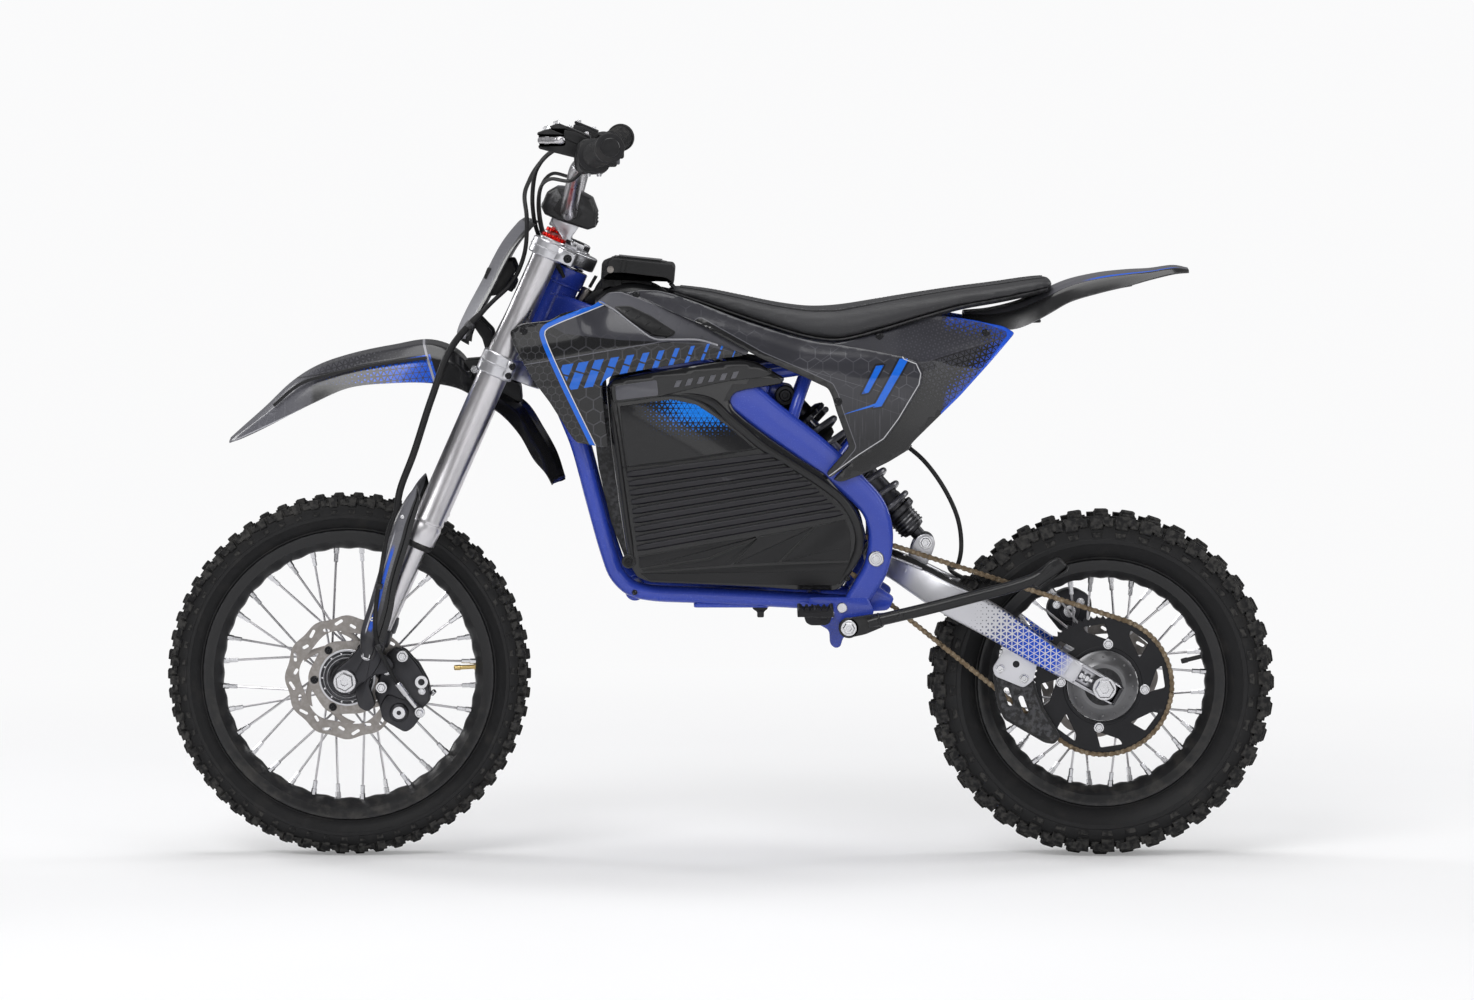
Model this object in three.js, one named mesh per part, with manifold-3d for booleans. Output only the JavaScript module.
// Youth electric off-road motorcycle, modelled as an assembly of separate named pieces.
// Millimetres, +Z up. The bike faces -X and its left side is -Y. The origin is on the ground, in
// the mid-plane, under the middle of the bike's length. Dimensions are drawn from a point near
// halfway between the axles, and the whole bike is set back from there to centre its length.
import * as THREE from "three";
import { mergeVertices } from "three/addons/utils/BufferGeometryUtils.js";
import Module from "manifold-3d";

const wasm = await Module();
wasm.setup();

// ---------------------------------------------------------------- driving dimensions
// Wheels. Places given as pairs are [x, z].
const FRONT_TYRE_R = 242, FRONT_RIM_R = 192.5;
const REAR_TYRE_R = 231, REAR_RIM_R = 164;
const FRONT_AXLE = [-500, FRONT_TYRE_R];
const REAR_AXLE = [502.7, REAR_TYRE_R];
const WHEEL_FACETS = 28;
const DISC_Y = 52; // brake discs from the mid-plane: front on the left, rear on the right
const DISC_THICKNESS = 3.6;
const DISC_SLOT = 7; // width of the slot in each caliper
const FRONT_DISC_R = 82, REAR_DISC_R = 80;

// Steering. Heights run along the steering axis from the front axle's level.
const RAKE = THREE.MathUtils.degToRad(24); // steering axis from the vertical
const RAKE_SIN = Math.sin(RAKE), RAKE_COS = Math.cos(RAKE);
const AXLE_LEAD = 15; // axle ahead of the fork tubes
const CLAMP_OFFSET = 33; // fork tubes ahead of the steering axis
const FORK_Y = 90; // each fork tube from the mid-plane
const OUTER_R = 20, OUTER_TOP_R = 18, BORE_R = 14.2, INNER_R = 13;
const OUTER_BOTTOM = 211, OUTER_TOP = 640;
const LOW_CLAMP = [450, 478], TOP_CLAMP = [620, 640]; // bottom and top faces
const HEAD = [486, 602]; // head tube
const HEAD_R = 24, STEM_R = 12.5;
const HEAD_BORE_R = STEM_R + 0.9;

// Frame, drive and suspension
const PIVOT = [200.7, 403]; // swingarm pivot
const PIVOT_BORE_R = 8.6;
const DRIVE = [130, 432]; // motor shaft
const CHAIN_Y = -52, CHAIN_PITCH = 8, DRIVE_TEETH = 12, REAR_TEETH = 72;
const SPROCKET_THICKNESS = 4.4;
const SHOCK_TOP = [81.2, 615.6], SHOCK_LOW = [268.1, 419.1];
const KICK_PIVOT = [164.5, 313.7];
const PEG_PIN = { x0: 119, x1: 145, y: 97, z: 330 }; // each footrest's hinge pin
const KEY = { x: -183, z: 750, tilt: THREE.MathUtils.degToRad(30) };

const pitchRadius = (teeth) => CHAIN_PITCH / (2 * Math.sin(Math.PI / teeth));

// Origin of the steering frame: the steering axis at the axle's level.
const STEER = [
  FRONT_AXLE[0] + (AXLE_LEAD + CLAMP_OFFSET) * RAKE_COS,
  0,
  FRONT_AXLE[1] - (AXLE_LEAD + CLAMP_OFFSET) * RAKE_SIN,
];
const STEER_MATRIX = new THREE.Matrix4().makeRotationY(RAKE).setPosition(...STEER);
const STEER_INVERSE = STEER_MATRIX.clone().invert();

// Points and pieces in the bike's frame, moved to the steering frame.
const pairToSteer = ([x, z]) => {
  const back = x - STEER[0], rise = z - STEER[2];
  return [back * RAKE_COS - rise * RAKE_SIN, back * RAKE_SIN + rise * RAKE_COS];
};
const pointToSteer = ([x, y, z]) => {
  const [localX, localZ] = pairToSteer([x, z]);
  return [localX, y, localZ];
};
const pieceToSteer = (geometry) => geometry.applyMatrix4(STEER_INVERSE);
const pieceFromSteer = (geometry) => geometry.applyMatrix4(STEER_MATRIX);

// ---------------------------------------------------------------- solids and booleans
function toManifold(geometry) {
  const bare = new THREE.BufferGeometry()
    .setAttribute("position", geometry.getAttribute("position"))
    .setIndex(geometry.index);
  const merged = mergeVertices(bare, 1e-4);
  return new wasm.Manifold(new wasm.Mesh({
    numProp: 3,
    vertProperties: merged.attributes.position.array,
    triVerts: new Uint32Array(merged.index.array),
  }));
}
function fromManifold(manifold) {
  const mesh = manifold.getMesh(), stride = mesh.numProp;
  const positions = new Float32Array(mesh.numVert * 3);
  for (let i = 0; i < mesh.numVert; i++) {
    positions.set(mesh.vertProperties.subarray(i * stride, i * stride + 3), i * 3);
  }
  return new THREE.BufferGeometry()
    .setAttribute("position", new THREE.BufferAttribute(positions, 3))
    .setIndex(new THREE.BufferAttribute(new Uint32Array(mesh.triVerts), 1));
}
const unite = (parts) => parts.flat().map(toManifold).reduce((sum, part) => sum.add(part));
const carve = (body, tools) =>
  fromManifold(tools.flat().map(toManifold).reduce((rest, tool) => rest.subtract(tool), body));
const join = (...parts) => fromManifold(unite(parts));
const cut = (part, ...tools) => carve(toManifold(part), tools);

const bothSides = (build) => [-1, 1].flatMap(build); // side -1 is the left, 1 the right

function flip(geometry) {
  const index = geometry.index.array;
  for (let i = 0; i < index.length; i += 3) {
    [index[i + 1], index[i + 2]] = [index[i + 2], index[i + 1]];
  }
  return geometry;
}
function signedVolume(geometry) {
  const position = geometry.getAttribute("position"), index = geometry.index.array;
  const corners = [0, 1, 2].map(() => new THREE.Vector3());
  let volume = 0;
  for (let i = 0; i < index.length; i += 3) {
    corners.forEach((corner, k) => corner.fromBufferAttribute(position, index[i + k]));
    volume += corners[0].dot(corners[1].cross(corners[2])) / 6;
  }
  return volume;
}
// A closed mesh whose faces look outwards.
function closedMesh(points, triangles) {
  const geometry = new THREE.BufferGeometry();
  geometry.setAttribute("position", new THREE.Float32BufferAttribute(points.flat(), 3));
  geometry.setIndex(triangles.flat());
  return signedVolume(geometry) < 0 ? flip(geometry) : geometry;
}
const mirrorY = (geometry) => flip(geometry.clone().scale(1, -1, 1));

// ---------------------------------------------------------------- shapes
const toVectors = (outline) => outline.map((point) => new THREE.Vector2(...point));

// A closed solid through rings of equal point count, closed into a loop or capped at both ends.
// The caps fan from the ring's middle, or follow capOutline where the ring isn't convex.
function loft(rings, { capOutline = null, loop = false } = {}) {
  const count = rings[0].length, points = rings.flat(), triangles = [];
  const rows = loop ? rings.length : rings.length - 1;
  for (let i = 0; i < rows; i++) {
    const near = i * count, far = ((i + 1) % rings.length) * count;
    for (let j = 0; j < count; j++) {
      const k = (j + 1) % count;
      triangles.push([near + j, near + k, far + k], [near + j, far + k, far + j]);
    }
  }
  if (loop) return closedMesh(points, triangles);

  const last = (rings.length - 1) * count;
  if (capOutline) {
    const flat = toVectors(capOutline);
    const turn = Math.sign(THREE.ShapeUtils.area(flat));
    for (const face of THREE.ShapeUtils.triangulateShape(flat, [])) {
      const faceTurn = Math.sign(THREE.ShapeUtils.area(face.map((i) => flat[i])));
      const [i, j, k] = faceTurn === turn ? face : [face[0], face[2], face[1]];
      triangles.push([i, k, j], [last + i, last + j, last + k]);
    }
  } else {
    const middle = (ring) =>
      ring.reduce((sum, point) => sum.map((v, i) => v + point[i] / count), [0, 0, 0]);
    const first = points.length;
    points.push(middle(rings[0]), middle(rings.at(-1)));
    for (let j = 0; j < count; j++) {
      const k = (j + 1) % count;
      triangles.push([first, k, j], [first + 1, last + j, last + k]);
    }
  }
  return closedMesh(points, triangles);
}

const circle = (radius, facets, turn = 0) =>
  Array.from({ length: facets }, (_, i) => {
    const angle = turn + (2 * Math.PI * i) / facets;
    return [radius * Math.cos(angle), radius * Math.sin(angle)];
  });
const circleAt = ([x, y], radius, facets) => circle(radius, facets).map(([a, b]) => [a + x, b + y]);

// A rectangle with cut corners.
const chamfered = (halfHeight, halfWidth, chamfer) => {
  const h = halfHeight, w = halfWidth, c = chamfer;
  return [
    [-h, -w + c], [-h + c, -w], [h - c, -w], [h, -w + c],
    [h, w - c], [h - c, w], [-h + c, w], [-h, w - c],
  ];
};

// A section swept along a path. It is a list of points, or a function giving one for each path
// point. Its second axis lies as near as it can to `up`.
function sweep(path, section, { up = [0, 1, 0], loop = false } = {}) {
  const points = path.map((point) => new THREE.Vector3(...point)), count = points.length;
  const upward = new THREE.Vector3(...up);
  const rings = points.map((point, i) => {
    const before = points[loop ? (i + count - 1) % count : Math.max(0, i - 1)];
    const after = points[loop ? (i + 1) % count : Math.min(count - 1, i + 1)];
    const arriving = point.clone().sub(before).normalize();
    const leaving = after.clone().sub(point).normalize();
    const tangent = arriving.add(leaving).normalize();
    const second = upward.clone().addScaledVector(tangent, -upward.dot(tangent)).normalize();
    const first = new THREE.Vector3().crossVectors(tangent, second);
    return (typeof section === "function" ? section(i) : section).map(([a, b]) =>
      point.clone().addScaledVector(first, a).addScaledVector(second, b).toArray());
  });
  return loft(rings, { loop });
}
const tube = (path, radius, facets, options) =>
  sweep(path, circle(radius, facets, Math.PI / facets), options);
// A straight round bar between two points.
function bar(start, end, radius, facets = 8) {
  const axis = new THREE.Vector3(...end).sub(new THREE.Vector3(...start)).normalize();
  return tube([start, end], radius, facets, { up: Math.abs(axis.y) > 0.9 ? [1, 0, 0] : [0, 1, 0] });
}
function spline(points, steps) {
  const vectors = points.map((point) => new THREE.Vector3(...point));
  const curve = new THREE.CatmullRomCurve3(vectors, false, "centripetal");
  return curve.getPoints(steps).map((vector) => vector.toArray());
}
// A prism over an outline in X-Z, between two Y values in either order.
function prism(outline, y0, y1, holes = []) {
  const shape = new THREE.Shape(toVectors(outline));
  shape.holes = holes.map((hole) => new THREE.Path(toVectors(hole)));
  const depth = Math.abs(y1 - y0);
  const geometry = new THREE.ExtrudeGeometry(shape, { depth, bevelEnabled: false });
  return geometry.rotateX(Math.PI / 2).translate(0, Math.max(y0, y1), 0);
}
const rodY = (radius, y0, y1, centre = [0, 0], facets = 14) =>
  prism(circleAt(centre, radius, facets), y0, y1);
const rodZ = (radius, z0, z1, centre = [0, 0], facets = 16) =>
  loft([z0, z1].map((z) => circleAt(centre, radius, facets).map(([x, y]) => [x, y, z])));
const box = (x0, x1, y0, y1, z0, z1) =>
  new THREE.BoxGeometry(x1 - x0, Math.abs(y1 - y0), z1 - z0)
    .translate((x0 + x1) / 2, (y0 + y1) / 2, (z0 + z1) / 2);

// Rings turned from a closed profile of [radius, place along the axis].
const revolve = (profile, facets, toPoint) =>
  loft(circle(1, facets).map(([a, b]) =>
    profile.map(([radius, along]) => toPoint(radius * a, radius * b, along))), { loop: true });
const revolveY = (profile, facets = WHEEL_FACETS) =>
  revolve(profile, facets, (x, z, along) => [x, along, z]);
const revolveZ = (profile, facets, [x, y] = [0, 0]) =>
  revolve(profile, facets, (a, b, along) => [a + x, b + y, along]);
// A turned profile from its left half, and a right half drawn as its mirror image.
const twoHalves = (left, right = left) =>
  [...left, ...right.map(([radius, y]) => [radius, -y]).reverse()];

// Splits one triangle. middles[i] is the new point on the edge from corner i, if it has one.
function splitTriangle(corners, middles) {
  const [a, b, c] = corners, [ab, bc, ca] = middles;
  const corner = (i) => corners[i % 3], middle = (i) => middles[i % 3];
  const splits = middles.filter((point) => point !== undefined).length;
  if (splits === 0) return [corners];
  if (splits === 3) return [[a, ab, ca], [ab, b, bc], [ca, bc, c], [ab, bc, ca]];
  if (splits === 1) {
    const i = middles.findIndex((point) => point !== undefined);
    return [
      [corner(i), middle(i), corner(i + 2)],
      [middle(i), corner(i + 1), corner(i + 2)],
    ];
  }
  const i = middles.indexOf(undefined); // the one whole edge
  return [
    [corner(i), corner(i + 1), middle(i + 2)],
    [corner(i + 1), middle(i + 1), middle(i + 2)],
    [middle(i + 1), corner(i + 2), middle(i + 2)],
  ];
}
// Halves edges longer than maxEdge, adding to points, and returns the new triangles.
function splitLongEdges(points, triangles, maxEdge) {
  const key = (i, j) => `${Math.min(i, j)}_${Math.max(i, j)}`;
  let result = triangles;
  for (let pass = 0; pass < 6; pass++) {
    const middles = new Map();
    for (const triangle of result) {
      for (let i = 0; i < 3; i++) {
        const start = triangle[i], end = triangle[(i + 1) % 3];
        const [x0, z0] = points[start], [x1, z1] = points[end];
        const edge = key(start, end);
        if (Math.hypot(x0 - x1, z0 - z1) > maxEdge && !middles.has(edge)) {
          middles.set(edge, points.length);
          points.push([(x0 + x1) / 2, (z0 + z1) / 2]);
        }
      }
    }
    if (middles.size === 0) break;
    result = result.flatMap((triangle) =>
      splitTriangle(triangle, triangle.map((start, i) =>
        middles.get(key(start, triangle[(i + 1) % 3])))));
  }
  return result;
}
// A left-side shell over an outline in X-Z. Its outer face stands reach(x, z) from the mid-plane.
function shell(outline, reach, thickness, maxEdge) {
  const points = [...outline];
  if (THREE.ShapeUtils.isClockWise(toVectors(points))) points.reverse();
  const flat = THREE.ShapeUtils.triangulateShape(toVectors(points), []);
  const faces = splitLongEdges(points, flat, maxEdge);

  const count = points.length, edges = new Map(), triangles = [];
  for (const [a, b, c] of faces) {
    triangles.push([a, b, c], [count + a, count + c, count + b]);
    for (const [i, j] of [[a, b], [b, c], [c, a]]) edges.set(`${i}_${j}`, [i, j]);
  }
  for (const [i, j] of edges.values()) {
    if (edges.has(`${j}_${i}`)) continue; // shared by two faces, so not on the rim
    triangles.push([j, i, count + i], [j, count + i, count + j]);
  }
  const outer = points.map(([x, z]) => [x, -reach(x, z), z]);
  const inner = points.map(([x, z]) => [x, -(reach(x, z) - thickness), z]);
  return closedMesh([...outer, ...inner], triangles);
}

// An open arch across the bike, from a station of [x, crown, skirt, half width]. shoulder is the
// rise of the shoulders as a share of the full rise, flat the crown's share of the width, dip the
// crown's drop, and lean how far forward the skirts sit.
function arch([x, crown, skirt, halfWidth], { shoulder, flat, dip = 0, lean = 0 }) {
  const half = [
    [x - lean, halfWidth, skirt],
    [x - lean * 0.6, halfWidth * 0.9, skirt + (crown - skirt) * shoulder],
    [x, halfWidth * flat, crown - dip],
  ];
  return [...half.map(([px, y, z]) => [px, -y, z]), ...half.reverse()];
}
// A skin through arches, thickened inwards and downwards.
function openShell(arches, thickness) {
  const rings = arches.map((outer) => {
    const inner = outer.map(([x, y, z], i) => {
      const atEdge = i === 0 || i === outer.length - 1;
      const inset = atEdge ? thickness : thickness * 0.8;
      return [x, y - Math.sign(y) * inset, z - (atEdge ? 0 : thickness)];
    });
    return [...outer, ...inner.reverse()];
  });
  return loft(rings, { capOutline: rings[0].map(([, y, z]) => [y, z]) });
}

const ramp = THREE.MathUtils.smoothstep; // (value, start, end), eased from 0 to 1
// A value from rows of [x, value], in straight lines between them.
function lookUp(rows, x) {
  if (x <= rows[0][0]) return rows[0][1];
  const i = rows.findIndex(([end]) => x <= end);
  if (i < 0) return rows.at(-1)[1];
  const [x0, value0] = rows[i - 1], [x1, value1] = rows[i];
  return value0 + ((value1 - value0) * (x - x0)) / (x1 - x0);
}

// ---------------------------------------------------------------- materials
const FINISHES = {
  blue: { color: 0x2f4fae, roughness: 0.3, metalness: 0.25 }, // painted frame
  alloy: { color: 0xb9b9be, roughness: 0.35, metalness: 0.85 },
  darkalloy: { color: 0x4b4b50, roughness: 0.45, metalness: 0.7 },
  black: { color: 0x141416, roughness: 0.5, metalness: 0 },
  gloss: { color: 0x17171a, roughness: 0.15, metalness: 0 }, // shiny black
  grey: { color: 0x3a3a3e, roughness: 0.3, metalness: 0 },
  vinyl: { color: 0x1b1b1d, roughness: 0.65, metalness: 0 },
  rubber: { color: 0x1a1a1c, roughness: 0.85, metalness: 0 },
  steel: { color: 0xa8a29c, roughness: 0.4, metalness: 0.9 },
  chain: { color: 0x5a4a3a, roughness: 0.5, metalness: 0.8 },
};

// ---------------------------------------------------------------- scene graph
const FRONT_REACH = FRONT_TYRE_R - FRONT_AXLE[0];
const REAR_REACH = REAR_TYRE_R + REAR_AXLE[0];

const bike = new THREE.Group();
bike.position.x = (FRONT_REACH - REAR_REACH) / 2;
const steering = new THREE.Group(); // local +Z runs up the steering axis, local -X is forward
steering.position.set(...STEER);
steering.rotation.y = RAKE;
const frontWheel = new THREE.Group();
frontWheel.position.set(FRONT_AXLE[0], 0, FRONT_AXLE[1]);
const rearWheel = new THREE.Group();
rearWheel.position.set(REAR_AXLE[0], 0, REAR_AXLE[1]);
bike.add(steering, frontWheel, rearWheel);

function place(parent, name, geometry, finish) {
  const mesh = new THREE.Mesh(geometry, new THREE.MeshStandardMaterial(FINISHES[finish]));
  mesh.name = name;
  parent.add(mesh);
}
function placePair(parent, name, left, finish) {
  place(parent, `${name}_left`, left, finish);
  place(parent, `${name}_right`, mirrorY(left), finish);
}

// ---------------------------------------------------------------- frame
// Main spar and rear upright: x, z, distance from the mid-plane, half height.
const SPAR = [
  [-224, 728, 20, 24], [-160, 704, 46, 24], [-70, 664, 66, 23], [18, 622, 73, 23],
  [60.8, 588.7, 73, 22], [121, 543.5, 73, 20.5], [173, 497.4, 73, 18],
  [196.9, 470.9, 73, 17], [206.1, 444.5, 73, 16.5], [206.2, 416.6, 73, 16.5],
  [199.5, 387.4, 73, 16.5], [184.5, 362, 73, 16], [172, 342, 73, 15],
];
const SPAR_HALF_WIDTH = 12.5;
// Cradle tube down the front and under the battery: x, distance from the mid-plane, z.
const CRADLE = [
  [-232, 20, 702], [-224, 42, 668], [-218, 57, 620], [-191.6, 60, 551.7], [-171.9, 60, 478.7],
  [-152, 60, 408], [-141, 60, 380], [-122, 60, 362], [-98, 60, 356], [-31.7, 60, 352.5],
  [100.8, 62, 345.8], [168, 66, 342],
];
// Seat rail, in the same columns.
const RAIL = [[-10, 62, 636], [50, 48, 645], [112, 44, 654], [250, 42, 690], [392, 38, 718]];
// Outlines in x, z.
const HEAD_GUSSET = [
  [-236, 758], [-190, 738], [-120, 700], [-150, 660], [-215, 640], [-262, 676],
];
const SHOCK_LUG = [[44, 634], [88, 626], [92, 612], [82, 605], [40, 620]];
const FOOT_BRACKET = [ // footrest and stand bracket
  [119, 352], [190, 350], [196, 333], [188, 318], [172, 303], [158, 303],
  [154, 288], [147, 288], [141, 308], [119, 321],
];
const REAR_GUSSET = [[178, 372], [196, 368], [222, 348], [214, 334], [176, 332]];

const onSide = (table, side) => table.map(([x, y, z]) => [x, side * y, z]);
const spar = (side) =>
  sweep(SPAR.map(([x, z, y]) => [x, side * y, z]), (i) => chamfered(SPAR[i][3], SPAR_HALF_WIDTH, 5));
const cradle = (side) => tube(spline(onSide(CRADLE, side), 13), 11, 8);
const rail = (side) => tube(spline(onSide(RAIL, side), 6), 9, 6);
const crossTube = (x, z, reach, radius) => bar([x, -reach, z], [x, reach, z], radius);
const pegPin = (side, radius) => {
  const { x0, x1, y, z } = PEG_PIN;
  return bar([x0, side * y, z], [x1, side * y, z], radius);
};
const pegClevis = (side) => [
  ...[121.5, 138.5].map((x) => box(x, x + 4, side * 84, side * 103.8, 322, 335.6)),
  pegPin(side, 4),
];
const headTube = pieceFromSteer(revolveZ([ // flared at both ends
  [HEAD_BORE_R, HEAD[0]], [HEAD_R + 3, HEAD[0]], [HEAD_R, HEAD[0] + 12],
  [HEAD_R, HEAD[1] + 1], [HEAD_R + 3, HEAD[1] + 13], [HEAD_BORE_R, HEAD[1] + 13],
], 14));
const headBore = pieceFromSteer(rodZ(HEAD_BORE_R, HEAD[0] - 30, HEAD[1] + 60, [0, 0], 14));

const frameParts = [
  bothSides(spar), bothSides(cradle), bothSides(rail), headTube,
  prism(HEAD_GUSSET, -26, 26),
  crossTube(-118, 357, 62, 10), // front, low
  crossTube(120, 345, 66, 10),
  crossTube(176, 349, 74, 10),
  crossTube(46, 628, 73, 11), // upper
  bothSides((side) => prism(SHOCK_LUG, side * 19, side * 27)),
  rodY(6, -34, 34, SHOCK_TOP, 12), // shock bolt
  rodY(10, -36, -28, SHOCK_TOP, 6),
  // struts from the spars to the seat rails
  bothSides((side) => bar([90, side * 68, 585], [113, side * 46, 654], 7.5)),
  bothSides((side) => bar([150, side * 68, 530], [290, side * 42, 697], 8)),
  crossTube(250, 690, 42, 8),
  crossTube(388, 717, 39, 8),
  bothSides((side) => prism(FOOT_BRACKET, side * 78, side * 86)),
  bothSides((side) => prism(REAR_GUSSET, side * 62, side * 70)),
  bothSides(pegClevis),
  box(-40, 60, -64, 64, 336, 342), // flat pad for a lift stand
  rodY(9, -100, -86, KICK_PIVOT, 12), // stand boss
];
place(bike, "frame",
  carve(unite(frameParts), [headBore, rodY(PIVOT_BORE_R, -120, 120, PIVOT, 16)]), "blue");

// Swingarm pivot bolt, with its head on the left and nut on the right.
place(bike, "pivot_bolt", join(
  rodY(7.9, -88, 88, PIVOT, 16),
  rodY(13, -92, -86.3, PIVOT, 16),
  rodY(11, 86.3, 95, PIVOT, 6),
), "steel");

// ---------------------------------------------------------------- battery, motor, controller
const BATTERY = [ // x, z
  [-176, 600], [-20, 590], [18, 566], [64, 530], [72, 505], [72, 376],
  [-104, 379], [-120, 384], [-132, 402], [-150, 450], [-166, 520],
];
place(bike, "battery_pack", prism(BATTERY, -46, 46), "gloss");

// Motor can with a narrower body through it and a foot, bored on the left for the drive shaft.
place(bike, "motor", cut(
  join(rodY(52, -36, 38, DRIVE, 18), rodY(44, -42, 44, DRIVE, 18), box(108, 152, -28, 28, 357, 385)),
  rodY(6.8, -60, -20, DRIVE),
), "darkalloy");

// Motor controller: a block with cooling fins along its top.
function controller() {
  const bottom = 640, top = 664, finTop = 676, halfWidth = 38;
  const finCount = 8, finStart = -34, finPitch = 9, finWidth = 3.5;
  const section = [[-halfWidth, bottom], [-halfWidth, top]]; // y, z
  for (let i = 0; i < finCount; i++) {
    const y0 = finStart + i * finPitch, y1 = y0 + finWidth;
    section.push([y0, top], [y0, finTop], [y1, finTop], [y1, top]);
  }
  section.push([halfWidth, top], [halfWidth, bottom]);
  return loft([-96, -2].map((x) => section.map(([y, z]) => [x, y, z])), { capOutline: section });
}
place(bike, "controller", controller(), "darkalloy");

// Flat side covers over the battery and motor.
const CASE = [ // x, z
  [-155.4, 630], [-147.4, 640.3], [-110.5, 648.2], [-31.5, 661.4], [21.3, 666.6], [43.7, 662.7],
  [80.6, 641.6], [58.2, 634], [27.8, 626], [16, 612], [2, 600], [27.8, 584], [60.8, 556],
  [100.4, 526], [150, 492], [173, 470], [184, 452], [187.5, 433.9], [184, 414.1], [176, 396.8],
  [156.1, 366], [146.8, 360.5], [100.6, 361], [47.7, 365], [-31.6, 368.6], [-97.7, 371.3],
  [-114.8, 377.9], [-124.4, 393.8], [-129.6, 420.7], [-138.8, 480.3], [-147.9, 546.5],
];
placePair(bike, "case", shell(CASE, () => 95, 8, 400), "black");

// ---------------------------------------------------------------- bodywork
const PANEL_THICKNESS = 3;

// Front shrouds.
const SHROUD = [ // x, z
  [-280.3, 705.3], [-264.6, 715.8], [-227.9, 719.8], [-212.1, 728.9], [-171.5, 738.1],
  [-162.3, 744.7], [-146.6, 733], [-90.2, 694], [-31.2, 692.7], [-15.5, 690], [27.8, 673.4],
  [21.2, 671], [-31.2, 666], [-110, 653], [-149, 646], [-160, 637], [-156, 588.4],
  [-151.5, 551], [-192.8, 558.1], [-199.3, 566], [-228.1, 612.1], [-251.7, 643.6],
  [-276.5, 689.6],
];
const SHROUD_REACH = [[-285, 128], [-220, 129], [-150, 119], [-60, 108], [30, 103]]; // x, y
function shroudReach(x, z) {
  const topInset = 34 * ramp(z, 688, 750) * ramp(x, -195, -150);
  const footInset = 10 * (1 - ramp(z, 530, 640));
  return lookUp(SHROUD_REACH, x) - topInset - footInset;
}
placePair(bike, "shroud", shell(SHROUD, shroudReach, PANEL_THICKNESS, 70), "gloss");

// Side panels under the seat.
const PANEL = [ // x, z
  [-133.7, 753.2], [-110.1, 757], [-86.4, 756.4], [-68, 752.2], [-31.3, 739.7], [21.2, 719.5],
  [73.8, 702], [100.1, 694.5], [126.4, 689], [146.1, 687.2], [192.1, 679.6], [238.1, 670.4],
  [255.2, 663.8], [261.8, 649.3], [259.2, 633.5], [247.4, 613.8], [231.7, 587.4], [212, 561],
  [179.2, 539.9], [139.7, 510.9], [134.4, 517.5], [164.7, 553.1], [147.5, 600.6],
  [142.2, 619], [136.9, 629.6], [100.1, 646.7], [47.5, 669.1], [32, 678], [-31.3, 713],
  [-108, 745],
];
const PANEL_REACH = [[-140, 84], [-30, 99], [60, 106], [160, 110], [262, 107]]; // x, y
const PANEL_SHOULDER = [[-140, 715], [0, 690], [100, 655], [260, 640]]; // x, z
function panelReach(x, z) {
  const shoulder = lookUp(PANEL_SHOULDER, x);
  const topInset = 24 * ramp(z, shoulder, shoulder + 60);
  const footInset = 6 * (1 - ramp(z, 500, 560));
  return lookUp(PANEL_REACH, x) - topInset - footInset;
}
placePair(bike, "side_panel", shell(PANEL, panelReach, PANEL_THICKNESS, 78), "grey");

// Rear side plates.
const REAR_PLATE = [ // x, z
  [120, 684], [146.2, 687.3], [166, 690.9], [205.4, 701], [244.8, 712.6], [281.6, 724.4],
  [330.3, 717], [369.8, 708.5], [384.3, 700.1], [363.3, 676.4], [310.9, 618.4], [258.3, 567],
  [247.8, 556.4], [242.6, 547.2], [218.9, 532.6], [189.9, 518.1], [155.7, 504.9], [143, 508],
  [170, 536], [190, 552], [160, 620],
];
const REAR_PLATE_REACH = [[110, 92], [230, 94.5], [300, 90], [390, 83]]; // x, y
const REAR_PLATE_SHOULDER = [[120, 650], [260, 660], [390, 650]]; // x, z
function rearPlateReach(x, z) {
  const shoulder = lookUp(REAR_PLATE_SHOULDER, x);
  return lookUp(REAR_PLATE_REACH, x) - 22 * ramp(z, shoulder, shoulder + 60);
}
placePair(bike, "rear_plate", shell(REAR_PLATE, rearPlateReach, PANEL_THICKNESS, 78), "gloss");

// The cover between the shrouds, ahead of the seat.
const COVER = [ // x, crown, skirt, half width
  [-168, 751, 738, 55], [-150, 762, 728, 59], [-124, 769, 728, 60], [-92, 762, 722, 63],
  [-84, 752, 716, 66], [-30, 727, 700, 76], [-4, 716, 690, 76],
];
place(bike, "tank_cover", openShell(
  COVER.map((station) => arch(station, { shoulder: 0.66, flat: 0.5, dip: 2 })), 3.5), "black");

// Display housing and its bracket, with a ring at the front for the key.
const DISPLAY = [ // x, z
  [-161, 768], [-160, 775], [-154, 792], [-149.5, 798], [-140, 797.5], [-67.4, 790],
  [-64.8, 784.5], [-67.5, 763.4], [-72, 765], [-78, 771], [-131, 777], [-150, 776],
];
const DISPLAY_BRACKET = [ // x, z
  [-181, 741], [-176.5, 750], [-161, 768], [-152, 776],
  [-148, 770.5], [-156, 764], [-172, 752.5], [-176, 741],
];
const alongKey = (distance) =>
  [KEY.x + distance * Math.sin(KEY.tilt), 0, KEY.z + distance * Math.cos(KEY.tilt)];
place(bike, "display_unit", join(
  prism(DISPLAY, -42, 42),
  prism(DISPLAY_BRACKET, -10, 10),
  cut(bar(alongKey(-6), alongKey(6), 9, 12), bar(alongKey(-18), alongKey(18), 4.2, 10)),
), "black");

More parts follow.
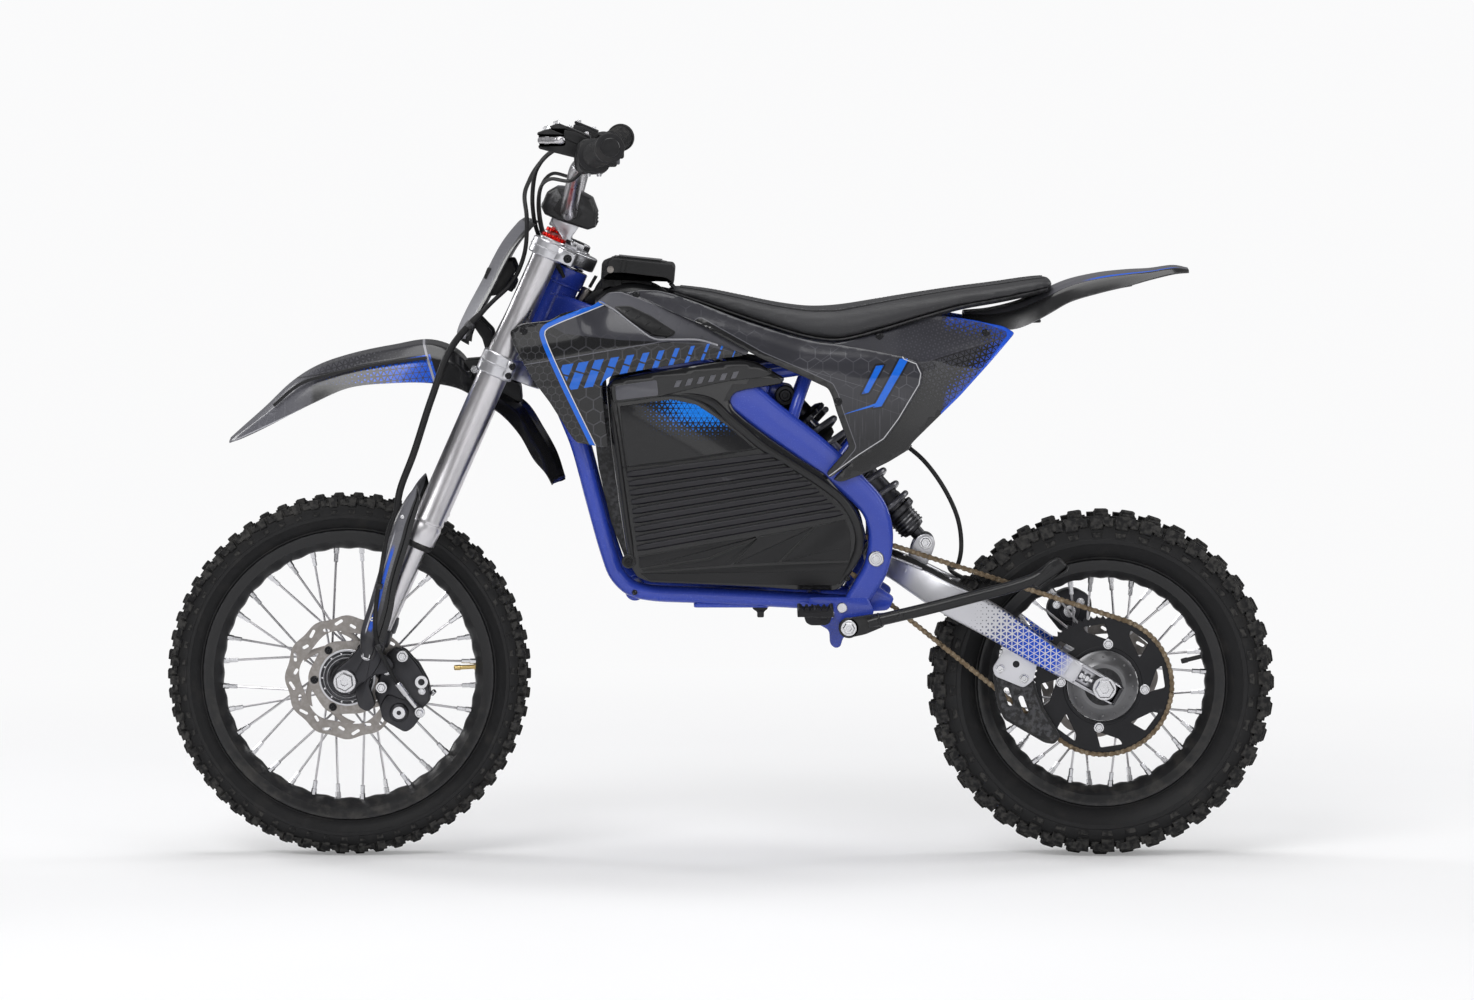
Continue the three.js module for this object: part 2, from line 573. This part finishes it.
// Seat foam and vinyl as one soft solid.
const SEAT = [ // x, top, bottom, half width
  [-76, 757.6, 755.5, 30], [-66, 761, 751.5, 40], [-45, 759, 745, 46], [-18, 755, 736, 54],
  [21, 747, 722.6, 62], [74, 736.5, 705.5, 70], [114, 732, 695, 76], [150, 733.5, 691.5, 80],
  [207, 742, 705, 84], [260, 749.5, 721, 84], [313, 757, 735.5, 82], [366, 764, 745, 76],
  [410, 771.5, 754, 68], [428, 773.5, 758, 60], [435, 768, 762, 50],
];
const SEAT_SECTION = [ // share of the half width, share of the height
  [0.84, 0], [1, 0.22], [0.98, 0.62], [0.8, 0.9], [0.45, 1], [0, 1],
  [-0.45, 1], [-0.8, 0.9], [-0.98, 0.62], [-1, 0.22], [-0.84, 0],
];
place(bike, "seat", loft(SEAT.map(([x, top, bottom, halfWidth]) =>
  SEAT_SECTION.map(([across, rise]) => [x, across * halfWidth, bottom + rise * (top - bottom)]),
)), "vinyl");

// Rear mudguard.
const REAR_FENDER = [ // x, crown, skirt, half width
  [318, 727, 718, 50], [384, 736, 704, 61], [430, 756, 727, 68], [457, 768, 742, 64],
  [498, 777, 754, 58], [536, 781, 763, 52], [564, 782, 771, 46], [597, 786.5, 778.5, 38],
  [617, 782.5, 780, 26],
];
place(bike, "rear_fender", openShell(
  REAR_FENDER.map((station) => arch(station, { shoulder: 0.75, flat: 0.5 })), 3), "gloss");

// ---------------------------------------------------------------- fork clamps and outer tubes
const CLAMP_HALF = [ // x, y of the right half, from front to back through the fork tube's side
  [30, 0], [27, 20], [8, 34], [-8, 66], [-10, 100], [-22, 115],
  [-46, 115], [-59, 98], [-59, 76], [-38, 52], [-34, 0],
].map(([x, y]) => [x, y]);
function clampPlate(levels) {
  const mirrored = CLAMP_HALF.slice(1, -1).reverse().map(([x, y]) => [x, -y]);
  const outline = [...CLAMP_HALF, ...mirrored];
  return loft(levels.map((z) => outline.map(([x, y]) => [x, y, z])), { capOutline: outline });
}
const forkHoles = ([bottom, top], radius) =>
  bothSides((side) => rodZ(radius, bottom - 5, top + 5, [-CLAMP_OFFSET, side * FORK_Y]));

place(steering, "top_clamp", cut(
  clampPlate(TOP_CLAMP),
  forkHoles(TOP_CLAMP, OUTER_TOP_R + 0.3),
  rodZ(STEM_R + 0.3, TOP_CLAMP[0] - 5, TOP_CLAMP[1] + 5, [0, 0], 14),
), "alloy");
// The bottom clamp carries the stem, its collar and the hexagonal nut at the top.
place(steering, "bottom_clamp", join(
  cut(clampPlate(LOW_CLAMP), forkHoles(LOW_CLAMP, OUTER_R + 0.4)),
  rodZ(STEM_R, LOW_CLAMP[1] - 4, TOP_CLAMP[1] + 3, [0, 0], 14),
  rodZ(STEM_R + 5, LOW_CLAMP[1] - 4, LOW_CLAMP[1] + 5, [0, 0], 14),
  rodZ(16, TOP_CLAMP[1] + 1, TOP_CLAMP[1] + 12, [0, 0], 6),
), "alloy");

placePair(steering, "fork_outer", revolveZ([
  [BORE_R, OUTER_BOTTOM], [OUTER_R, OUTER_BOTTOM], [OUTER_R, 505], [OUTER_TOP_R, 530],
  [OUTER_TOP_R, OUTER_TOP + 10], [8, OUTER_TOP + 10], [8, OUTER_TOP], [BORE_R, OUTER_TOP - 6],
], 16, [-CLAMP_OFFSET, -FORK_Y]), "alloy");

// ---------------------------------------------------------------- handlebar and controls
const BAR_CENTRE = [-204.5, 858]; // x, z
const BAR_R = 11;
const BAR_HALF = [ // left half from the middle outwards, in the bike's frame
  [-204.5, -40, 858], [-204, -62, 862], [-200, -92, 879], [-194, -132, 904], [-190, -158, 917],
  [-184, -182, 924], [-176, -205, 930], [-166.6, -250, 937.3], [-148, -345, 947.5],
];
const BAR_PATH = [...onSide(BAR_HALF, -1).reverse(), ...BAR_HALF].map(pointToSteer);
const barTube = (radius) => tube(BAR_PATH, radius, 8, { up: [1, 0, 0] });
place(steering, "handlebar", barTube(BAR_R), "alloy");

const GRIP_INNER = [-165.8, 254, 937.8], GRIP_OUTER = [-143.3, 369, 950.1]; // bike's frame
const GRIP_PROFILE = [ // share of the length, radius
  [0, 22], [0.06, 22], [0.09, 16.6], [0.92, 16.6], [0.95, 19.2], [1, 18.8],
];
function grip(side) {
  const [inner, outer] = onSide([GRIP_INNER, GRIP_OUTER], side)
    .map((point) => new THREE.Vector3(...point));
  const at = (share) => pointToSteer(inner.clone().lerp(outer, share).toArray());
  const up = [1, 0, 0];
  const path = GRIP_PROFILE.map(([share]) => at(share));
  return cut(
    sweep(path, (i) => circle(GRIP_PROFILE[i][1], 10), { up }),
    tube([at(-0.1), at(0.9)], 12.6, 8, { up }),
  );
}
place(steering, "grip_left", grip(-1), "rubber");
place(steering, "throttle_grip", grip(1), "rubber");

// Riser: two posts and a bridge round the bar, on the top clamp.
const [barX, barZ] = pairToSteer(BAR_CENTRE);
const RISER_POST = [
  [barX - 19, barZ - 20], [-22, TOP_CLAMP[1] + 0.4], [-3, TOP_CLAMP[1] + 0.4],
  [barX + 19, barZ - 20], [barX + 19, barZ + 3], [barX + 12, barZ + 16],
  [barX - 12, barZ + 16], [barX - 19, barZ + 3],
];
const RISER_BRIDGE = [
  [barX - 19, barZ - 24], [barX + 19, barZ - 24], [barX + 19, barZ - 13], [barX - 19, barZ - 13],
];
place(steering, "bar_riser", cut(
  join(bothSides((side) => prism(RISER_POST, side * 18, side * 34)), prism(RISER_BRIDGE, -34, 34)),
  rodY(BAR_R + 0.6, -60, 60, [barX, barZ], 12),
  rodZ(17, 600, 655, [0, 0], 12), // room for the stem nut
), "alloy");

// Pad over the bar clamp: a faceted block with a slot that straddles the bar and riser.
const BAR_PAD = [ // x, z in the bike's frame
  [-241.7, 866], [-233.7, 885.4], [-221.8, 892], [-211.3, 891], [-188.8, 884.7],
  [-174.3, 876.8], [-167.7, 859], [-169.1, 839], [-179.7, 835.2], [-196.8, 840.5],
  [-219.3, 848], [-236.5, 855.6],
].map(pairToSteer);
const PAD_SLOT = [
  [barX - 19.6, barZ - 60], [barX + 19.6, barZ - 60], [barX + 19.6, barZ + 4],
  [barX + 12.4, barZ + 16.8], [barX - 12.4, barZ + 16.8], [barX - 19.6, barZ + 4],
];
place(steering, "bar_pad", cut(prism(BAR_PAD, -46, 46), prism(PAD_SLOT, -60, 60)), "black");

// Lever perches: a clamp round the bar, a slotted arm forward of it and a raised lug on top.
const PERCH_CLAMP = [[-192, 915], [-156, 912], [-150, 948], [-186, 955]];
const PERCH_ARM = [[-190, 934], [-184, 955], [-226, 972], [-240, 966], [-238, 946], [-214, 940]];
const PERCH_LUG = [[-176, 954], [-188, 953], [-204, 960], [-203, 978], [-188, 972], [-170, 962]];
const PERCH_SLOT = [[-244, 951], [-212, 951], [-212, 963], [-244, 963]];
function perch(side) {
  const body = join(
    prism(PERCH_CLAMP, side * 212, side * 236),
    prism(PERCH_ARM, side * 214, side * 232),
    prism(PERCH_LUG, side * 196, side * 236),
  );
  const slotted = cut(body, prism(PERCH_SLOT, side * 216, side * 260));
  return cut(pieceToSteer(slotted), barTube(BAR_R + 0.5));
}
place(steering, "perch_left", perch(-1), "black");
place(steering, "perch_right", perch(1), "black");

const LEVER = [ // x, distance from the mid-plane, z, half width, half height
  [-228, 224, 957, 8, 5], [-232, 240, 957.5, 7, 5], [-231, 262, 958, 5.5, 4],
  [-222, 300, 958.5, 5, 4], [-213, 340, 959, 5, 4], [-208, 362, 959.5, 4.5, 4],
];
function lever(side) {
  const blade = sweep(onSide(LEVER, side), (i) => {
    const [, , , w, h] = LEVER[i];
    return [[-w, -h], [w, -h], [w, h], [-w, h]];
  }, { up: [0, 0, 1] });
  return pieceToSteer(join(
    blade,
    rodZ(7, 955.5, 963.5, [-207, side * 364], 10), // round tip
    rodZ(8, 952.2, 961.8, [-228, side * 226], 10), // pivot eye
  ));
}
place(steering, "lever_left", lever(-1), "alloy");
place(steering, "lever_right", lever(1), "alloy");

// ---------------------------------------------------------------- front mudguard and plate
const FRONT_FENDER = [ // x, crown, skirt, half width, in the bike's frame
  [-657, 556, 554, 22], [-641, 570.5, 559, 34], [-610, 598, 573, 44], [-575, 631, 591, 52],
  [-541, 652.5, 608, 56], [-495, 668.4, 628, 60], [-440, 680, 636, 62], [-389, 687, 636, 62],
  [-352, 671, 628, 60], [-322, 633, 611, 56], [-290, 619, 592, 52], [-262, 603, 565, 48],
  [-240, 570, 532, 45], [-222, 537, 514, 43], [-211, 503, 499, 41],
];
const LAST_UPRIGHT = 9; // past this station the tail leans, its skirts ahead of its crown
const FENDER_MOUNT = [[-330, 628], [-340, 644], [-318, 650], [-270, 628], [-272, 612]]; // x, z
place(steering, "front_fender", pieceToSteer(join(
  openShell(FRONT_FENDER.map((station, i) =>
    arch(station, { shoulder: 0.7, flat: 0.45, lean: 3.4 * Math.max(0, i - LAST_UPRIGHT) })), 3),
  prism(FENDER_MOUNT, -24, 24),
)), "black");

// Front number plate: a shallow curved shield in front of the fork, with two lugs behind.
const NUMBER_PLATE = [ // height, x of the middle, half width
  [469, -99, 42], [480, -102, 54], [508, -102, 68], [548, -99, 78],
  [608, -95, 84], [640, -87, 78], [652, -82, 66],
];
const PLATE_LUG = [[-98, 560], [-98, 574], [-60, 574], [-54.5, 570], [-54.5, 556]];
function plateSection(middleX, halfWidth) { // x, y
  const bow = 17, thickness = 3, edgeInset = 1.5;
  const shares = Array.from({ length: 7 }, (_, i) => -1 + i / 3);
  const front = shares.map((share) => [middleX + bow * share * share, share * halfWidth]);
  const back = shares.map((share) =>
    [middleX + bow * share * share + thickness, share * (halfWidth - edgeInset)]);
  return [...front, ...back.reverse()];
}
place(steering, "number_plate", join(
  loft(
    NUMBER_PLATE.map(([z, middleX, w]) => plateSection(middleX, w).map(([x, y]) => [x, y, z])),
    { capOutline: plateSection(0, 30).map(([x, y]) => [y, x]) },
  ),
  bothSides((side) => prism(PLATE_LUG, side * 38, side * 46)),
), "grey");

// ---------------------------------------------------------------- sliding fork legs
const AXLE_X = -(CLAMP_OFFSET + AXLE_LEAD); // axle in the steering frame
const AXLE_LUG = [
  [AXLE_X - 17, -8], [AXLE_X - 17, 10], [AXLE_X - 2, 36], [AXLE_X + 2, 66], [-18, 66],
  [-14, 34], [-26, 6], [AXLE_X + 10, -15], [AXLE_X - 8, -16],
];
const CALIPER_EAR = [
  [AXLE_X + 16, -4], [AXLE_X + 34, -30], [AXLE_X + 44, -27], [AXLE_X + 62, 20],
  [AXLE_X + 40, 44], [-20, 52], [-24, 12],
];
const axleHole = () => rodY(7.4, -130, -60, [AXLE_X, 0]);
const innerLeg = () => cut(
  join(rodZ(INNER_R, 40, 345, [-CLAMP_OFFSET, -FORK_Y]), prism(AXLE_LUG, -104, -78)),
  axleHole(),
);
// Only the left leg carries the caliper's mount.
place(steering, "fork_inner_left",
  cut(join(innerLeg(), prism(CALIPER_EAR, -86, -78)), axleHole()), "alloy");
place(steering, "fork_inner_right", mirrorY(innerLeg()), "alloy");

const GUARD = [ // height, then the front and rear edges, measured forward from the tube's centre
  [42, 9, -8], [66, 21, -11], [110, 27, -6], [148, 32, 4], [207, 39, 12],
  [223, 41, 15], [250, 39.5, 19], [264, 37, 22], [276, 33, 31],
];
function forkGuard() {
  const rings = GUARD.map(([z, front, rear]) => {
    const crest = rear + (front - rear) * 0.4;
    const section = [ // forward, y
      [rear, -114], [crest, -118.5], [front - 3, -118], [front, -112], [front, -104.8],
      [front - 3, -104.8], [front - 3, -112], [front - 4.5, -115], [crest, -115.5],
      [rear, -111.4],
    ];
    return section.map(([forward, y]) => [-CLAMP_OFFSET - forward, y, z]);
  });
  return loft(rings, { capOutline: rings[4].map(([x, y]) => [x, y]) });
}
placePair(steering, "fork_guard", forkGuard(), "grey");

place(steering, "front_axle", join(
  rodY(7, -108, 108, [AXLE_X, 0]),
  bothSides((side) => rodY(12, side * 105, side * 113, [AXLE_X, 0], 6)),
), "steel");

// Front caliper, straddling the disc behind the left leg.
const FRONT_CALIPER = [ // x, z in the bike's frame
  [-452, 262], [-440, 284], [-420, 281], [-392, 240], [-389, 214], [-404, 198],
  [-412, 177], [-424, 172], [-452, 188], [-455, 205], [-462, 222],
];
// Clearance round a disc, on the given side.
const discSlot = (radius, side, axle) =>
  rodY(radius, side * DISC_Y - DISC_SLOT / 2, side * DISC_Y + DISC_SLOT / 2, axle, 30);
place(steering, "front_caliper", pieceToSteer(cut(
  prism(FRONT_CALIPER, -74, -42),
  discSlot(FRONT_DISC_R + 2, -1, FRONT_AXLE),
)), "black");

// ---------------------------------------------------------------- wheels
function tyre(radius, rimRadius, halfWidth) {
  const height = radius - rimRadius;
  return revolveY(twoHalves([
    [rimRadius - 11, -16],
    [rimRadius + 0.6, -20],
    [rimRadius + height * 0.3, -halfWidth * 0.95],
    [rimRadius + height * 0.65, -halfWidth],
    [radius, -halfWidth * 0.5],
  ]));
}
const rim = (radius) => revolveY(twoHalves([
  [radius - 24, -8], [radius - 13, -24], [radius, -24], [radius, -21], [radius - 17, -16],
]));

// Hub with its spokes. The carriers are the outer shoulders at carrierY, with their own radii.
function spokedHub({
  rimRadius, flangeY, flangeRadius, bore, coreRadius, endY, leftCarrierRadius, rightCarrierRadius,
}) {
  const carrierY = 44, spokeCount = 16, spokeLean = 0.62, spokeRadius = 1.9;
  const half = (carrierRadius) => [
    [bore, -endY], [bore + 6, -endY], [bore + 6, -carrierY - 3], [carrierRadius, -carrierY - 3],
    [carrierRadius, -carrierY + 3], [flangeRadius - 8, -carrierY + 6],
    [flangeRadius, -flangeY - 2], [flangeRadius, -flangeY + 2], [coreRadius, -flangeY + 5],
  ];
  const parts = [revolveY(twoHalves(half(leftCarrierRadius), half(rightCarrierRadius)), 12)];
  const rootRadius = flangeRadius - 4, tipRadius = rimRadius - 26.5;
  for (let i = 0; i < spokeCount; i++) {
    const angle = (2 * Math.PI * i) / spokeCount, side = i % 2 ? 1 : -1;
    const rootAngle = angle - ((i >> 1) % 2 ? 1 : -1) * spokeLean;
    const root = [rootRadius * Math.cos(rootAngle), side * flangeY, rootRadius * Math.sin(rootAngle)];
    const tip = [tipRadius * Math.cos(angle), side * 3, tipRadius * Math.sin(angle)];
    parts.push(sweep([root, tip], circle(spokeRadius, 3)));
  }
  return join(parts);
}
const brakeDisc = (radius, innerRadius, side) => revolveY([
  [innerRadius, -DISC_THICKNESS / 2], [radius, -DISC_THICKNESS / 2],
  [radius, DISC_THICKNESS / 2], [innerRadius, DISC_THICKNESS / 2],
]).translate(0, side * DISC_Y, 0);

place(frontWheel, "front_tyre", tyre(FRONT_TYRE_R, FRONT_RIM_R, 34), "rubber");
place(frontWheel, "front_rim", rim(FRONT_RIM_R), "black");
place(frontWheel, "front_hub", spokedHub({
  rimRadius: FRONT_RIM_R, flangeY: 26, flangeRadius: 33, bore: 7.6, coreRadius: 19, endY: 76,
  leftCarrierRadius: 38, rightCarrierRadius: 33,
}), "alloy");
place(frontWheel, "front_disc", brakeDisc(FRONT_DISC_R, 37.5, -1), "steel");

place(rearWheel, "rear_tyre", tyre(REAR_TYRE_R, REAR_RIM_R, 42), "rubber");
place(rearWheel, "rear_rim", rim(REAR_RIM_R), "black");
place(rearWheel, "rear_hub", spokedHub({
  rimRadius: REAR_RIM_R, flangeY: 28, flangeRadius: 36, bore: 8.1, coreRadius: 22, endY: 56,
  leftCarrierRadius: 46, rightCarrierRadius: 36,
}), "alloy");
place(rearWheel, "rear_disc", brakeDisc(REAR_DISC_R, 34, 1), "steel");

// ---------------------------------------------------------------- sprockets and chain
// A toothed disc. tip and root are the teeth's height and depth from the pitch circle.
function sprocket({ teeth, bore, tip, root, windows = [] }) {
  const pitch = pitchRadius(teeth), step = (2 * Math.PI) / teeth, outline = [];
  for (let i = 0; i < teeth; i++) {
    for (const [radius, angle] of [[pitch + tip, i * step], [pitch - root, (i + 0.5) * step]]) {
      outline.push([radius * Math.cos(angle), radius * Math.sin(angle)]);
    }
  }
  const half = SPROCKET_THICKNESS / 2;
  return prism(outline, -half, half, [circle(bore, 14), ...windows]);
}
const WINDOW = [[60, -0.24], [83, -0.1], [83, 0.22], [74, 0.16]]; // radius, angle in radians
const sprocketWindows = Array.from({ length: 8 }, (_, i) =>
  WINDOW.map(([radius, offset]) => {
    const angle = (i * Math.PI) / 4 + offset;
    return [radius * Math.cos(angle), radius * Math.sin(angle)];
  }));
place(rearWheel, "rear_sprocket", sprocket({
  teeth: REAR_TEETH, bore: 47, tip: 2.4, root: 2.6, windows: sprocketWindows,
}).translate(0, CHAIN_Y, 0), "black");

// Drive sprocket on the motor's shaft, with a collar.
place(bike, "drive_sprocket", join(
  sprocket({ teeth: DRIVE_TEETH, bore: 3, tip: 2.2, root: 3 })
    .translate(DRIVE[0], CHAIN_Y, DRIVE[1]),
  rodY(6, -60, -24, DRIVE),
  rodY(9.5, -49.8, -45, DRIVE),
), "steel");

// The chain is a closed channel: solid on the outside, open towards the teeth.
const CHAIN_SECTION = [ // outwards, y
  [4, -5], [-4, -5], [-4, -3], [2.9, -3], [2.9, 3], [-4, 3], [-4, 5], [4, 5],
];
function chain() {
  const run = [REAR_AXLE[0] - DRIVE[0], REAR_AXLE[1] - DRIVE[1]];
  const driveRadius = pitchRadius(DRIVE_TEETH), rearRadius = pitchRadius(REAR_TEETH);
  const slope = Math.atan2(run[1], run[0]);
  const spread = Math.asin((rearRadius - driveRadius) / Math.hypot(...run));
  // directions from each centre to its tangent points
  const upper = slope + spread + Math.PI / 2, lower = slope - spread - Math.PI / 2;
  const arc = ([x, z], radius, start, end, steps) =>
    Array.from({ length: steps + 1 }, (_, i) => {
      const angle = start + ((end - start) * i) / steps;
      return [x + radius * Math.cos(angle), CHAIN_Y, z + radius * Math.sin(angle)];
    });
  const path = [
    ...arc(REAR_AXLE, rearRadius, upper, lower, 22), // over the back of the big sprocket
    ...arc(DRIVE, driveRadius, lower + 2 * Math.PI, upper, 8),
  ];
  return sweep(path, CHAIN_SECTION, { loop: true });
}
place(bike, "chain", chain(), "chain");

// ---------------------------------------------------------------- swingarm
const ARM = [ // x, z, half height, distance from the mid-plane, half thickness
  [203, 397, 15, 30, 10], [226, 388, 16, 38, 10], [258, 371, 18.5, 60, 10.5],
  [290, 352.5, 20, 77, 11], [345, 325, 22, 79, 11.5], [430, 272, 17, 79, 11.5],
  [466, 252, 15, 79, 11.5],
];
const AXLE_FORK = [ // open-ended slot for the rear axle, drawn along and across the arm's end
  [-8, -15], [62, -14], [62, -10.5], [4, -10.5], [4, 10.5], [62, 10.5], [62, 14], [-8, 15],
];
// Outlines in x, z.
const ARM_WEB = [[205, 388], [252, 366], [262, 384], [214, 408]];
const SHOCK_EAR = [
  [246, 400], [252, 420], [260, 430], [270, 431.5], [279, 426],
  [281, 417], [277, 405], [268, 386], [248, 386],
];
const SHOCK_EAR_BASE = [[246, 400], [268, 388], [262, 372], [240, 380]];
const GUIDE_PLATE = [ // under the left arm
  [366, 290], [369.8, 279.7], [355.3, 255.8], [360.6, 243.8], [399.1, 229.1],
  [409.7, 239.8], [413.6, 257.1], [418, 276], [400, 290],
];
const arm = (side) => sweep(
  ARM.map(([x, z, , y]) => [x, side * y, z]),
  (i) => chamfered(ARM[i][2], ARM[i][4], 4),
);
function axleFork(side) {
  const [endX, endZ] = ARM.at(-1);
  const angle = Math.atan2(REAR_AXLE[1] - endZ, REAR_AXLE[0] - endX);
  const cos = Math.cos(angle), sin = Math.sin(angle);
  const outline = AXLE_FORK.map(([along, across]) =>
    [endX + along * cos - across * sin, endZ + along * sin + across * cos]);
  return prism(outline, side * 68, side * 90);
}
place(bike, "swingarm", carve(unite([
  bothSides(arm), bothSides(axleFork),
  rodY(14, -57.5, 57.5, PIVOT, 16),
  bar([252, -58, 378], [252, 58, 378], 12, 10),
  prism(ARM_WEB, -34, 34),
  bothSides((side) => prism(SHOCK_EAR, side * 18, side * 25)),
  prism(SHOCK_EAR_BASE, -25, 25),
  rodY(5, -30, 30, SHOCK_LOW, 12),
  prism(GUIDE_PLATE, -70.5, -67.5),
]), [rodY(PIVOT_BORE_R, -80, 80, PIVOT, 16)]), "alloy");

// Rear axle with hexagonal ends and a square block in each axle slot.
place(bike, "rear_axle", join(
  rodY(7.4, -97, 97, REAR_AXLE),
  bothSides((side) => rodY(13, side * 91, side * 99, REAR_AXLE, 6)),
  bothSides((side) => rodY(9.4, side * 67, side * 90.6, REAR_AXLE, 4)),
), "steel");

// Chain guide, hollowed from its inner side to clear the chain and sprocket.
const CHAIN_GUIDE = [ // x, z
  [372, 252], [360, 236], [362.6, 206], [371.3, 187.6], [432, 154.5],
  [446.5, 164.9], [425, 200], [414, 232], [398, 236],
];
const GUIDE_CHANNEL = [ // x, z
  [340, 270], [340, 225], [430, 148], [480, 120], [480, 158],
  [446, 172], [410, 200], [390, 240], [372, 262],
];
place(bike, "chain_guide", cut(
  prism(CHAIN_GUIDE, -67.1, -46.5),
  prism(GUIDE_CHANNEL, -57.6, -46),
  rodY(99, -57.6, -46, REAR_AXLE, 32),
), "black");

// Rear caliper over the disc, on an arm from the axle.
const REAR_CALIPER = [ // x, z
  [432, 318], [440, 342], [470, 352], [492, 340], [488, 306], [470, 296], [452, 292],
];
const CALIPER_ARM = [[466, 300], [488, 308], [521, 238], [516, 218], [500, 213], [486, 222]];
place(bike, "rear_caliper", cut(
  join(prism(REAR_CALIPER, 42, 66), prism(CALIPER_ARM, 58, 65)),
  discSlot(REAR_DISC_R + 2.5, 1, REAR_AXLE),
  rodY(7.9, 40, 70, REAR_AXLE),
), "black");

// ---------------------------------------------------------------- shock
const shockRun = [SHOCK_LOW[0] - SHOCK_TOP[0], SHOCK_LOW[1] - SHOCK_TOP[1]];
const SHOCK_LENGTH = Math.hypot(...shockRun);
const shock = new THREE.Group(); // local -Z runs down the shock from its top eye
shock.position.set(SHOCK_TOP[0], 0, SHOCK_TOP[1]);
shock.rotation.y = -Math.atan2(shockRun[0], -shockRun[1]);
bike.add(shock);

// Top eye, spring seat and piston rod.
place(shock, "shock_upper", join(
  cut(join(rodY(13, -16, 16, [0, 0], 16), rodZ(11, -40, -6, [0, 0], 14)), rodY(6.8, -20, 20)),
  rodZ(27, -48, -40, [0, 0], 14),
  rodZ(6, -165, -44, [0, 0], 12),
), "black");

// Damper body with the lower spring seat, and the bottom eye.
const SHOCK_BODY = [ // radius, z
  [7, -150], [20, -150], [20, -213], [25, -213], [25, -222], [18, -228], [18, -248], [7, -248],
];
place(shock, "shock_lower", cut(
  join(
    revolveZ(SHOCK_BODY, 14),
    rodZ(16, -250, -240),
    rodZ(9, -SHOCK_LENGTH, -245, [0, 0], 12),
    rodY(12, -16, 16, [0, -SHOCK_LENGTH], 16),
  ),
  rodY(5.8, -20, 20, [0, -SHOCK_LENGTH]),
), "black");

function coilSpring() {
  const turns = 6.5, stepsPerTurn = 10, radius = 25.2, wireRadius = 4.2;
  const top = -52.5, bottom = -208.5;
  const steps = turns * stepsPerTurn;
  const path = Array.from({ length: steps + 1 }, (_, i) => {
    const angle = (2 * Math.PI * turns * i) / steps;
    const z = top + ((bottom - top) * i) / steps;
    return [radius * Math.cos(angle), radius * Math.sin(angle), z];
  });
  return sweep(path, circle(wireRadius, 5), { up: [0, 0, 1] });
}
place(shock, "shock_spring", coilSpring(), "alloy");

// ---------------------------------------------------------------- stand, footrests, key
// Side stand, folded up along the left side.
const STAND_PATH = [
  [196, -113, 322], [260, -117, 338], [380, -122, 370], [412, -123, 382], [432, -124, 397],
];
const STAND_ROOT = [[164, 300.5], [204, 314], [204, 331], [164, 327]]; // x, z
const STAND_FOOT = [[405, 374], [414, 369], [446, 393], [436, 407], [428, 402]]; // x, z
place(bike, "kickstand", cut(join(
  rodY(13.5, -112, -101, KICK_PIVOT, 12),
  prism(STAND_ROOT, -112, -104),
  tube(STAND_PATH, 8.2, 10),
  prism(STAND_FOOT, -131, -116),
), rodY(6, -130, -100, KICK_PIVOT, 12)), "black");

// Footrest: an open frame with a tongue in the clevis, hinged about an axis along X.
const PEG_ROOT = [[104, 334], [108, 320], [140, 320], [144, 334]]; // x, z
placePair(bike, "footpeg", cut(
  join(
    box(96, 144, -166, -106.5, 333, 342),
    prism(PEG_ROOT, -116, -106.5),
    box(126.5, 137.5, -116, -90, 324, 336),
  ),
  box(103, 137, -159, -118, 320, 350),
  pegPin(-1, 4.7),
), "black");

const keyAxis = new THREE.Group(); // local +Z runs up along the key
keyAxis.position.set(KEY.x, 0, KEY.z);
keyAxis.rotation.y = KEY.tilt;
bike.add(keyAxis);
place(keyAxis, "key", join(box(-2, 2, -6, 6, 9, 25.5), box(-1, 1, -3, 3, -4, 10)), "black");

export default bike;
